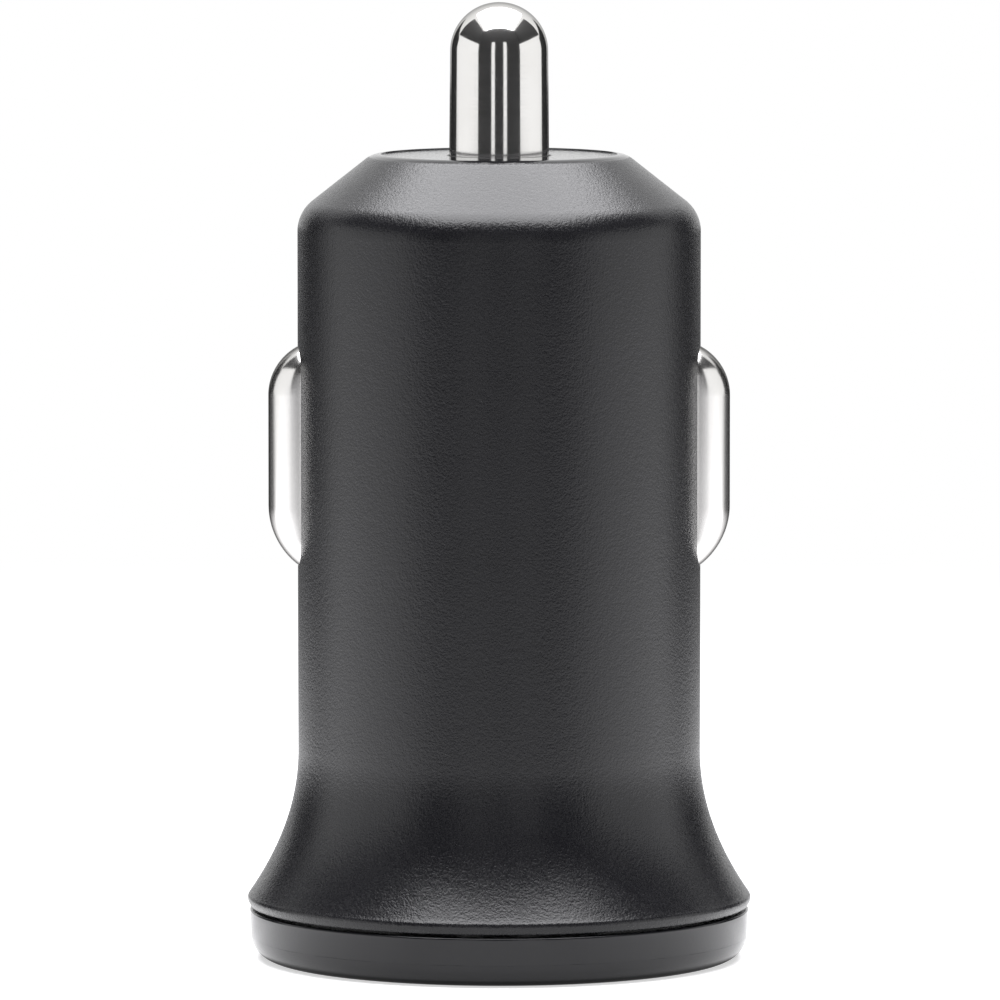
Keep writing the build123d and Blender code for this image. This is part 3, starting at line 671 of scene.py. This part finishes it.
def cutMouth(cap, c):
    # a pocket for the socket, then the mouth, whose lower end widens towards the face
    pocketSize = (*c["pocket"], c["pocketDepth"])
    pocketPlace = (0, 0, c["pocketLow"] + c["pocketDepth"] / 2)
    cutWith(cap, roundedBlock("pocketCutter", pocketSize, pocketPlace, c["pocketCorner"], 2))
    mouthSize = (*c["mouth"], c["mouthTop"] - c["flare"])
    mouthPlace = (0, 0, (c["mouthTop"] + c["flare"]) / 2)
    mouth = roundedBlock("mouthCutter", mouthSize, mouthPlace, c["mouthCorner"], 2)
    makeActive(mouth)
    startPicking("FACE")
    for face in mouth.data.polygons:
        face.select = face.normal.z < -mostly
    bpy.ops.object.mode_set(mode="EDIT")
    widen = [(side + 2 * c["flare"]) / side for side in c["mouth"]]
    pull(0, 0, -c["flare"])
    bpy.ops.transform.resize(value=(*widen, 1), center_override=(0, 0, 0))
    pull(0, 0, -c["past"])
    bpy.ops.object.mode_set(mode="OBJECT")
    cutWith(cap, mouth)


def buildHook(k):
    hook = drawOutline("snapHook", [
        (k["inside"], k["root"]), (k["outside"], k["root"]), (k["outside"], k["catch"]),
        (k["tip"], k["catch"]), (k["tip"], k["land"]), (k["lead"], k["end"]), (k["inside"], k["end"]),
    ])
    bpy.ops.mesh.select_all(action="SELECT")
    bpy.ops.mesh.edge_face_add()
    bpy.ops.transform.translate(value=(0, -k["width"] / 2 * mm, 0))
    pull(0, k["width"], 0)
    faceOutwards()
    return hook


def addHooks(cap, k):
    # modelled once, then copied and turned to each place
    hook = buildHook(k)
    for i in range(k["count"]):
        makeActive(hook)
        bpy.ops.object.duplicate()
        turn = radians(k["firstTurn"] + 360 / k["count"] * i)
        bpy.ops.transform.rotate(value=turn, orient_axis="Z", center_override=(0, 0, 0))
        bpy.ops.object.transform_apply(location=True, rotation=True, scale=True)
        joinWith(cap, bpy.context.object)
    bpy.data.objects.remove(hook)


faceCap = buildCap(capLook)
addCollar(faceCap, capLook)
cutMouth(faceCap, capLook)
addHooks(faceCap, hookLook)
smoothOut(faceCap)
settle(faceCap, "plug", "cap_plastic", capPlastic, "face_cap")
print("face cap made:", len(faceCap.data.polygons), "faces")


# centre contact: turned pin with a domed tip, flange and spring bore

pinLook = {
    "foot": 36.41, "flangeLow": 37.21, "flangeHigh": housingLook["noseInside"], "flange": 3.3,
    "radius": 2.485, "tipRadius": 2.43, "tip": 47.58, "bore": 1.8, "boreTop": 40.36, "borePoint": 40.96,
    "edgeRound": (0.08, 3), "domeSteps": 32, "turns": 144,
}


def buildPin(p):
    boreFoot = (p["bore"], p["foot"])
    flangeRoot = (p["radius"], p["flangeLow"])
    flangeUnder = (p["flange"], p["flangeLow"])
    flangeOver = (p["flange"], p["flangeHigh"])
    shank = (p["radius"], p["flangeHigh"])
    outline = [(0, p["borePoint"]), (p["bore"], p["boreTop"]), boreFoot]
    outline += roundCorner(boreFoot, (p["radius"], p["foot"]), flangeRoot, *p["edgeRound"])
    outline.append(flangeRoot)
    outline += roundCorner(flangeRoot, flangeUnder, flangeOver, *p["edgeRound"])
    outline += roundCorner(flangeUnder, flangeOver, shank, *p["edgeRound"])
    outline.append(shank)
    domeLow = p["tip"] - p["tipRadius"]
    for i in range(p["domeSteps"]):
        turn = pi / 2 * i / p["domeSteps"]
        outline.append((p["tipRadius"] * cos(turn), domeLow + p["tipRadius"] * sin(turn)))
    outline.append((0, p["tip"]))
    return spinOutline("centrePin", outline, p["turns"])


centrePin = buildPin(pinLook)
smoothOut(centrePin)
settle(centrePin, "centre_contact", "pin_nickel", pinNickel, "centre_contact")
print("centre pin made:", len(centrePin.data.polygons), "faces")


# coil spring behind the pin

coilLook = {
    "radius": 1.46, "wire": 0.22, "wireSides": 14, "seat": 31.41, "top": pinLook["boreTop"], "turns": 5,
    "turnSteps": 44, "smoothAngle": 40, "travel": 2.5,
}


def buildCoil(k):
    deselectAll()
    bpy.ops.mesh.primitive_circle_add(
        vertices=k["wireSides"], radius=k["wire"] * mm, rotation=(pi / 2, 0, 0),
        location=(k["radius"] * mm, 0, (k["seat"] + k["wire"]) * mm),
    )
    coil = nameIt("coilSpring")
    bpy.ops.object.transform_apply(location=True, rotation=True, scale=True)
    winding = coil.modifiers.new("winding", "SCREW")
    winding.axis = "Z"
    winding.steps = winding.render_steps = k["turnSteps"]
    winding.iterations = k["turns"]
    winding.screw_offset = (k["top"] - k["seat"] - 2 * k["wire"]) * mm / k["turns"]
    bpy.ops.object.modifier_apply(modifier="winding")
    bpy.ops.object.mode_set(mode="EDIT")
    bpy.ops.mesh.select_all(action="SELECT")
    bpy.ops.mesh.fill_holes(sides=0)
    faceOutwards()
    smoothOut(coil, k["smoothAngle"])
    return coil


coilSpring = buildCoil(coilLook)
settle(coilSpring, "plug", "spring_steel", springSteel, "centre_spring")
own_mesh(coilSpring)
print("coil spring made")


# side contacts: half-round domes whose ends curve in both ways, pressed from sheet with a flange

contactLook = {
    "crest": 11.46, "axis": 9.61, "half": windowLook["width"] / 2 - windowLook["fit"],
    "low": windowLook["middle"] - windowLook["length"] / 2 + windowLook["fit"],
    "high": windowLook["middle"] + windowLook["length"] / 2 - windowLook["fit"], "corner": 1.2,
    "lowStart": 22.6, "lowRound": 3.73, "highStart": 28.08, "highRound": 2.73, "seat": 8.2, "sheet": 0.4,
    "rim": 0.7, "rimTrim": 0.1, "overlap": 0.005, "past": 1, "steps": 56, "endSteps": 12, "bodySteps": 10,
}


def contactSection(c, height, inset):
    # how far the half-round stands out, and its half width, at one height
    above, below = max(height - c["highStart"], 0), max(c["lowStart"] - height, 0)
    bend, off = (c["highRound"] - inset, above) if above else (c["lowRound"] - inset, below)
    crest = c["crest"] - inset - bend + (bend**2 - off**2) ** 0.5
    corner = c["corner"] - inset
    past = max(corner - min(height - c["low"] - inset, c["high"] - inset - height), 0)
    return crest - c["axis"], c["half"] - inset - corner + max(corner**2 - past**2, 0) ** 0.5


def buildDome(name, side, c, inset):
    low, high, corner = c["low"] + inset, c["high"] - inset, c["corner"] - inset
    ends, body = c["endSteps"], c["bodySteps"]
    heights = [low + corner * (1 - cos(pi / 2 * i / ends)) for i in range(ends)]
    heights += [low + corner + (c["lowStart"] - low - corner) * i / body for i in range(body + 1)]
    heights += [c["highStart"] + (high - corner - c["highStart"]) * i / body for i in range(body + 1)]
    heights += [high - corner * (1 - sin(pi / 2 * i / ends)) for i in range(1, ends + 1)]
    reach, half = contactSection(c, low, inset)
    turns = [pi * i / c["steps"] - pi / 2 for i in range(c["steps"] + 1)]
    dome = pullLine(name, [(side * (c["axis"] + reach * cos(t)), half * sin(t), low) for t in turns])
    bpy.ops.mesh.select_all(action="SELECT")
    bpy.ops.mesh.edge_face_add()
    middle = (side * c["axis"] * mm, 0, 0)
    for here, there in zip(heights, heights[1:]):
        newReach, newHalf = contactSection(c, there, inset)
        pull(0, 0, there - here)
        bpy.ops.transform.resize(value=(newReach / reach, newHalf / half, 1), center_override=middle)
        reach, half = newReach, newHalf
    faceOutwards()
    return dome


def contactBlock(name, side, c, start, end, wider, corner):
    size = (end - start, 2 * (c["half"] + wider), c["high"] - c["low"] + 2 * wider)
    place = (side * (start + end) / 2, 0, (c["low"] + c["high"]) / 2)
    return roundedBlock(name, size, place, corner, 0, c["endSteps"])


def buildContact(name, side, c):
    contact = buildDome(name, side, c, 0)
    footEnd = c["axis"] + c["overlap"]
    joinWith(contact, contactBlock("contactFoot", side, c, c["seat"], footEnd, 0, c["corner"]))
    flangeEnd, flangeCorner = c["seat"] + c["sheet"], c["rim"] + c["corner"] - c["rimTrim"]
    joinWith(contact, contactBlock("contactFlange", side, c, c["seat"], flangeEnd, c["rim"], flangeCorner))
    # the hollow is the same form, smaller by the sheet
    hollow = buildDome("contactHollow", side, c, c["sheet"])
    hollowStart, hollowCorner = c["seat"] - c["past"], c["corner"] - c["sheet"]
    joinWith(hollow, contactBlock("hollowFoot", side, c, hollowStart, footEnd, -c["sheet"], hollowCorner))
    cutWith(contact, hollow)
    smoothOut(contact)
    return contact


for word, side in sides:
    sideContact = buildContact("sideContact_" + word, side, contactLook)
    settle(sideContact, word + "_contact", "contact_nickel", contactNickel, "ground_contact_" + word)
print("side contacts made:", len(sideContact.data.polygons), "faces each")


# leaf springs between the board and the side contacts

leafLook = {
    "seat": 6.0, "front": contactLook["seat"], "sheet": 0.25, "width": 3.4, "length": 9.2, "foot": 1.3,
    "bend": (0.8, 6), "soft": 0.03, "softSteps": 2, "softAngle": 50, "middle": windowLook["middle"],
    "travel": 1.45,
}


def buildLeaf(name, side, leaf):
    back, front = leaf["seat"] + leaf["sheet"] / 2, leaf["front"] - leaf["sheet"] / 2
    low, high = leaf["middle"] - leaf["length"] / 2, leaf["middle"] + leaf["length"] / 2
    corners = [
        (side * back, low), (side * back, low + leaf["foot"]),
        (side * front, leaf["middle"] - leaf["foot"]), (side * front, leaf["middle"] + leaf["foot"]),
        (side * back, high - leaf["foot"]), (side * back, high),
    ]
    line = [corners[0]]
    for before, corner, after in zip(corners, corners[1:], corners[2:]):
        line += roundCorner(before, corner, after, *leaf["bend"])
    line.append(corners[-1])
    strip = drawOutline(name, line)
    bpy.ops.mesh.select_all(action="SELECT")
    bpy.ops.transform.translate(value=(0, -leaf["width"] / 2 * mm, 0))
    pull(0, leaf["width"], 0)
    bpy.ops.object.mode_set(mode="OBJECT")
    sheet = strip.modifiers.new("sheet", "SOLIDIFY")
    sheet.thickness = leaf["sheet"] * mm
    sheet.offset = 0
    bpy.ops.object.modifier_apply(modifier="sheet")
    soften = strip.modifiers.new("soften", "BEVEL")
    soften.width = leaf["soft"] * mm
    soften.segments = leaf["softSteps"]
    soften.limit_method = "ANGLE"
    soften.angle_limit = radians(leaf["softAngle"])
    bpy.ops.object.modifier_apply(modifier="soften")
    bpy.ops.object.mode_set(mode="EDIT")
    faceOutwards()
    smoothOut(strip)
    return strip


for word, side in sides:
    leafSpring = buildLeaf("leafSpring_" + word, side, leafLook)
    settle(leafSpring, "plug", "spring_steel", springSteel, "ground_spring_" + word)
    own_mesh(leafSpring)
print("leaf springs made")


# finishes of the frame's own nodes, those that a modelled piece replaces too

finishes = {
    "ground_contact_left": contactNickel, "ground_contact_right": contactNickel,
    "positive_terminal": seatBrass, "circuit_board": boardMask, "usb_shell": socketSteel,
    "usb_insulator": socketPlastic, "usb_contacts": giltStrip, "converter_chip": chipPlastic,
    "rectifier_diode": chipPlastic,
    "inductor_core": ferrite, "inductor_coil": windingCopper, "input_capacitor": canAluminium,
    "output_capacitor": canAluminium, "input_fuse": chipCeramic, "chip_capacitors": chipCeramic,
    "chip_resistors": chipCeramic, "housing": housingPlastic, "face_cap": capPlastic,
    "centre_contact": pinNickel, "centre_spring": springSteel, "ground_spring_left": springSteel,
    "ground_spring_right": springSteel,
}
for name, material in finishes.items():
    for slot in nodes[name].material_slots:
        slot.material = material
print("finishes set on", len(finishes), "nodes")


# floor that turns into the white backdrop behind the plug

def addRays(tree):
    return addNode(tree, "ShaderNodeLightPath").outputs


def lookingAt(tree, rays):
    # rays that look at the backdrop, straight, in a mirror or through something clear
    looking = calc(tree, "MAXIMUM", rays["Is Camera Ray"], rays["Is Glossy Ray"])
    return calc(tree, "MAXIMUM", looking, rays["Is Transmission Ray"])


floorLook = {
    "size": 60.0, "tone": 0.76, "lift": 0.6, "sheen": 0.62, "liftNear": 0.08, "liftFar": 0.3,
    "ringCentre": (0, -0.25, 0), "nearRing": 0.28, "farRing": 0.46,
}
deselectAll()
bpy.ops.mesh.primitive_plane_add(size=floorLook["size"])
floor = nameIt("floor")
floorPaper, floorTree, floorShader, floorPlace = newMaterial("floorPaper")
floorShader.inputs["Base Color"].default_value = (floorLook["tone"],) * 3 + (1.0,)
floorShader.inputs["Roughness"].default_value = 1.0
floorShader.inputs["Specular IOR Level"].default_value = 0.0
floorShader.inputs["Emission Color"].default_value = (1.0, 1.0, 1.0, 1.0)
floorRays = addRays(floorTree)

# round the plug the paper is lifted towards white
fromPlug = lengthOf(floorTree, floorPlace)
near = spread(floorTree, fromPlug, floorLook["liftNear"], floorLook["liftFar"], 1.0, 0.0)
lifted = calc(floorTree, "MULTIPLY", floorRays["Is Camera Ray"], floorLook["lift"])
mirrored = calc(floorTree, "MULTIPLY", floorRays["Is Glossy Ray"], floorLook["sheen"])
glow = calc(floorTree, "MULTIPLY", near, calc(floorTree, "MAXIMUM", lifted, mirrored))
floorTree.links.new(glow, floorShader.inputs["Emission Strength"])

# further out it fades into plain white
fromRing = addNode(floorTree, "ShaderNodeVectorMath", operation="DISTANCE")
floorTree.links.new(floorPlace, fromRing.inputs[0])
fromRing.inputs[1].default_value = floorLook["ringCentre"]
fade = addNode(floorTree, "ShaderNodeMapRange", interpolation_type="SMOOTHSTEP")
floorTree.links.new(fromRing.outputs["Value"], fade.inputs["Value"])
fade.inputs["From Min"].default_value = floorLook["nearRing"]
fade.inputs["From Max"].default_value = floorLook["farRing"]
white = addNode(floorTree, "ShaderNodeEmission")
mixFloor = addNode(floorTree, "ShaderNodeMixShader")
whiteShare = calc(floorTree, "MULTIPLY", lookingAt(floorTree, floorRays), fade.outputs["Result"])
floorTree.links.new(whiteShare, mixFloor.inputs["Fac"])
floorTree.links.new(floorShader.outputs["BSDF"], mixFloor.inputs[1])
floorTree.links.new(white.outputs["Emission"], mixFloor.inputs[2])
floorTree.links.new(mixFloor.outputs["Shader"], floorTree.nodes["Material Output"].inputs["Surface"])
floor.data.materials.append(floorPaper)

# white surroundings, which light the plug only softly
worldLook = {"fill": 0.2}
world = bpy.data.worlds.new("studioWorld")
scene.world = world
world.use_nodes = True
worldTree = world.node_tree
backdrop = worldTree.nodes["Background"]
backdrop.inputs["Color"].default_value = (1.0, 1.0, 1.0, 1.0)
worldSeen = lookingAt(worldTree, addRays(worldTree))
worldGlow = spread(worldTree, worldSeen, 0.0, 1.0, worldLook["fill"], 1.0)
worldTree.links.new(worldGlow, backdrop.inputs["Strength"])

# one soft lamp overhead
lampLook = {
    "height": 0.80, "width": 0.95, "depth": 1.05, "glow": 6.1, "back": 0.064, "tint": (0.978, 0.974, 1.0),
}
deselectAll()
bpy.ops.object.light_add(type="AREA", location=(0, lampLook["back"], lampLook["height"]))
topLamp = bpy.context.object
topLamp.name = "topLamp"
topLamp.data.shape = "RECTANGLE"
topLamp.data.size = lampLook["width"]
topLamp.data.size_y = lampLook["depth"]
topLamp.data.energy = pi * lampLook["width"] * lampLook["depth"] * lampLook["glow"]
topLamp.data.color = lampLook["tint"]
topLamp.visible_camera = False

# black cards that only reflections see
cardLook = {
    "tone": 0.012, "rough": 0.9, "front": -0.36, "slotIn": 0.0635, "slotOut": 0.117, "side": 0.43,
    "step": 0.204, "top": 0.63, "sideBack": 0.29, "sideLow": 0.21, "sideHigh": 0.60, "back": 0.33,
    "backIn": 0.19, "backOut": 0.62, "backTop": 0.22,
}


def paintBlack(shader):
    shader.inputs["Base Color"].default_value = (cardLook["tone"],) * 3 + (1.0,)
    shader.inputs["Roughness"].default_value = cardLook["rough"]


def placeCard(name, corners, material):
    # a plane whose four corners go to their places, in order round the card
    deselectAll()
    bpy.ops.mesh.primitive_plane_add(size=1)
    card = nameIt(name)
    for vertex, corner in zip((card.data.vertices[i] for i in card.data.polygons[0].vertices), corners):
        vertex.co = corner
    card.data.materials.append(material)
    for ray in ("camera", "diffuse", "shadow", "transmission", "volume_scatter"):
        setattr(card, "visible_" + ray, False)


def standCard(name, y, left, right, low, high):
    placeCard(name, [(left, y, low), (right, y, low), (right, y, high), (left, y, high)], cardBlack)


cardBlack, _, cardShader, _ = newMaterial("cardBlack")
paintBlack(cardShader)
front, step, edge = cardLook["front"], cardLook["step"], cardLook["side"]
standCard("cardFrontMiddle", front, -cardLook["slotIn"], cardLook["slotIn"], 0.0, step)
standCard("cardFrontLeft", front, -edge, -cardLook["slotOut"], 0.0, step)
standCard("cardFrontRight", front, cardLook["slotOut"], edge, 0.0, step)
standCard("cardFrontTop", front, -edge, edge, step, cardLook["top"])
back, backIn, backOut = cardLook["back"], cardLook["backIn"], cardLook["backOut"]
standCard("cardBackLeft", back, -backOut, -backIn, 0.0, cardLook["backTop"])
standCard("cardBackRight", back, backIn, backOut, 0.0, cardLook["backTop"])
for word, side in sides:
    x, low = side * edge, cardLook["sideLow"]
    farTop = (x, cardLook["sideBack"], cardLook["sideHigh"])
    sideCorners = [(x, front, low), (x, cardLook["sideBack"], low), farTop, (x, front, cardLook["top"])]
    placeCard("cardSide_" + word, sideCorners, cardBlack)

# painted shade on the floor, seen only in reflections: a soft dark card that in front fades to the sides and
# behind deepens with distance
softLook = {
    "half": 0.9, "lift": 0.00006, "front": 0.60, "frontTurn": (25, 80), "frontReach": (0.012, 0.10),
    "frontNear": 0.60, "behind": 0.95, "behindReach": (0.05, 0.19), "behindNear": 0.25,
    "edgeReach": (0.38, 0.46), "edgeStart": (103, 108), "edgeFull": (118, 130),
    "contact": 0.8, "contactReach": (0.0118, 0.0122),
}
paintedFloorShade, softTree, softShader, softPlace = newMaterial("paintedFloorShade")
paintBlack(softShader)
across = addNode(softTree, "ShaderNodeSeparateXYZ")
softTree.links.new(softPlace, across.inputs["Vector"])
reach = lengthOf(softTree, softPlace)
turn = calc(
    softTree, "ARCTAN2", calc(softTree, "ABSOLUTE", across.outputs["X"]),
    calc(softTree, "MULTIPLY", across.outputs["Y"], -1.0),
)
frontShade = calc(
    softTree, "MULTIPLY", spread(softTree, turn, *inRadians(softLook["frontTurn"]), softLook["front"], 0.0),
    spread(softTree, reach, *softLook["frontReach"], softLook["frontNear"], 1.0),
)
# far out the edge of the shade behind lies further round and is softer
edgeStart = spread(softTree, reach, *softLook["edgeReach"], *inRadians(softLook["edgeStart"]))
edgeFull = spread(softTree, reach, *softLook["edgeReach"], *inRadians(softLook["edgeFull"]))
backShade = calc(
    softTree, "MULTIPLY", spread(softTree, turn, edgeStart, edgeFull, 0.0, softLook["behind"]),
    spread(softTree, reach, *softLook["behindReach"], softLook["behindNear"], 1.0),
)
# painted shadow: right under the plug's edge hardly any light reaches the floor, so the card is darkest there
contactShade = spread(softTree, reach, *softLook["contactReach"], softLook["contact"], 0.0)
shade = calc(softTree, "MAXIMUM", calc(softTree, "ADD", frontShade, backShade), contactShade)
softTree.links.new(shade, softShader.inputs["Alpha"])
half, lift = softLook["half"], softLook["lift"]
softCorners = [(-half, -half, lift), (half, -half, lift), (half, half, lift), (-half, half, lift)]
placeCard("paintedFloorShadeCard", softCorners, paintedFloorShade)
print("stage set")

scene.view_settings.view_transform = "Standard"
